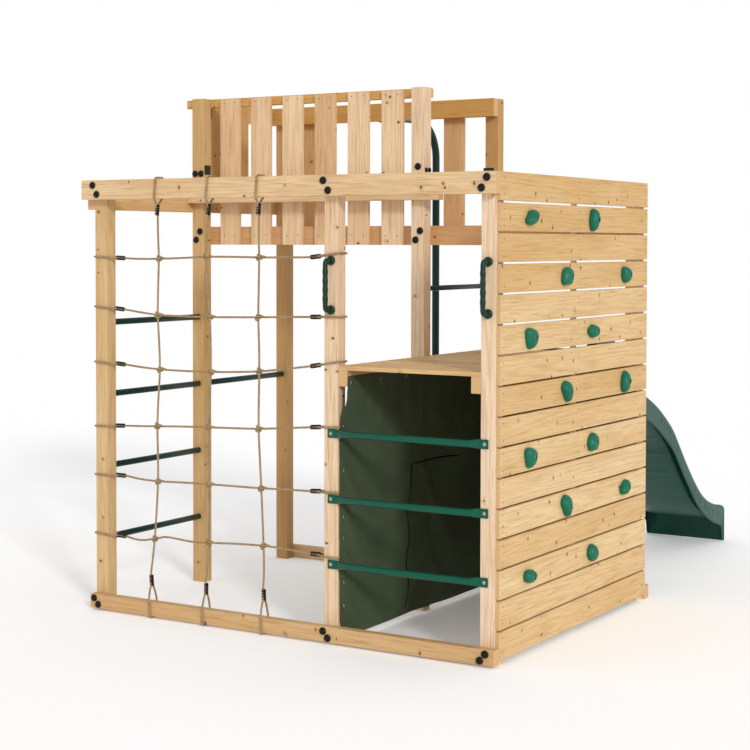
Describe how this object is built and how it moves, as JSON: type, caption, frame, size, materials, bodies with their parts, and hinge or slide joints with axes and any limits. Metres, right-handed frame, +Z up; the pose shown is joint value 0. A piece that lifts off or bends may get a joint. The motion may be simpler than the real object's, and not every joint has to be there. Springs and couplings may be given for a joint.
{
  "type": "climbing frame with rock climbing wall",
  "caption": "Free-standing timber climbing frame: a rock wall with bolted holds, a rope net, tube rungs, a slide deck over a cloth den, and a guarded platform with a pole.",
  "frame": {"origin": "on the ground, at the middle of the whole footprint, slide and holds included", "axes": "+X from the net side to the rock wall side, +Y from the front (net and rungs) to the back (slide and pole), +Z up"},
  "size_m": [2.233, 3.33, 2.432],
  "materials": {
    "post_timber": "planed pale pine, knots, satin",
    "beam_timber": "planed golden pine, knots, satin",
    "board_timber": "planed pine boards, knots, satin",
    "hold_resin": "moulded green resin, slightly rough",
    "zinc_steel": "zinc-plated bolt head",
    "bright_green_tube": "glossy green powder coat",
    "dark_green_tube": "dark green powder coat",
    "grip_plastic": "moulded dark green plastic",
    "slide_plastic": "moulded dark green plastic, satin gloss",
    "den_fabric": "woven olive green cloth, matt",
    "rope_fibre": "laid tan rope, matt",
    "ferrule_plastic": "moulded black plastic, ribbed",
    "cap_plastic": "moulded black-green bolt cap",
    "black_steel": "black coated steel"
  },
  "bodies": {
    "root": {"post_front_left": "post_timber", "post_front_middle": "post_timber", "post_front_right": "post_timber", "post_mid_left": "post_timber", "post_mid_inner": "post_timber", "post_back_left": "post_timber", "post_back_inner": "post_timber", "post_back_right": "post_timber", "front_beam": "beam_timber", "front_sill": "beam_timber", "mid_beam": "beam_timber", "mid_floor_rail": "beam_timber", "mid_guard_rail": "beam_timber", "back_guard_rail": "beam_timber", "back_floor_rail": "beam_timber", "back_sill": "beam_timber", "side_beam": "beam_timber", "side_guard_rail": "beam_timber", "wall_batten": "beam_timber", "deck_joist_left": "beam_timber", "deck_joist_right": "beam_timber", "deck_boards": "board_timber", "platform_ledgers": "beam_timber", "platform_boards": "board_timber", "inner_guard_pickets": "board_timber", "back_guard_pickets": "board_timber", "left_guard_pickets": "board_timber", "wall_boards": "board_timber", "holds_row_1": "hold_resin", "holds_row_2": "hold_resin", "holds_row_3": "hold_resin", "holds_row_4": "hold_resin", "holds_row_5": "hold_resin", "holds_row_6": "hold_resin", "holds_row_7": "hold_resin", "hold_bolts": "zinc_steel", "front_rung_1": "bright_green_tube", "front_rung_2": "bright_green_tube", "front_rung_3": "bright_green_tube", "side_rungs": "dark_green_tube", "step_bar": "dark_green_tube", "hand_grip_left": "grip_plastic", "hand_grip_right": "grip_plastic", "pole": "dark_green_tube", "slide": "slide_plastic", "den_side_cloth": "den_fabric", "den_back_cloth": "den_fabric", "net_rope_up_1": "rope_fibre", "net_rope_up_2": "rope_fibre", "net_rope_up_3": "rope_fibre", "net_rope_across_1": "rope_fibre", "net_rope_across_2": "rope_fibre", "net_rope_across_3": "rope_fibre", "net_rope_across_4": "rope_fibre", "net_rope_across_5": "rope_fibre", "net_rope_across_6": "rope_fibre", "rope_ferrules": "ferrule_plastic", "bolt_caps": "cap_plastic", "corner_brackets": "black_steel"}
  },
  "joints": []
}
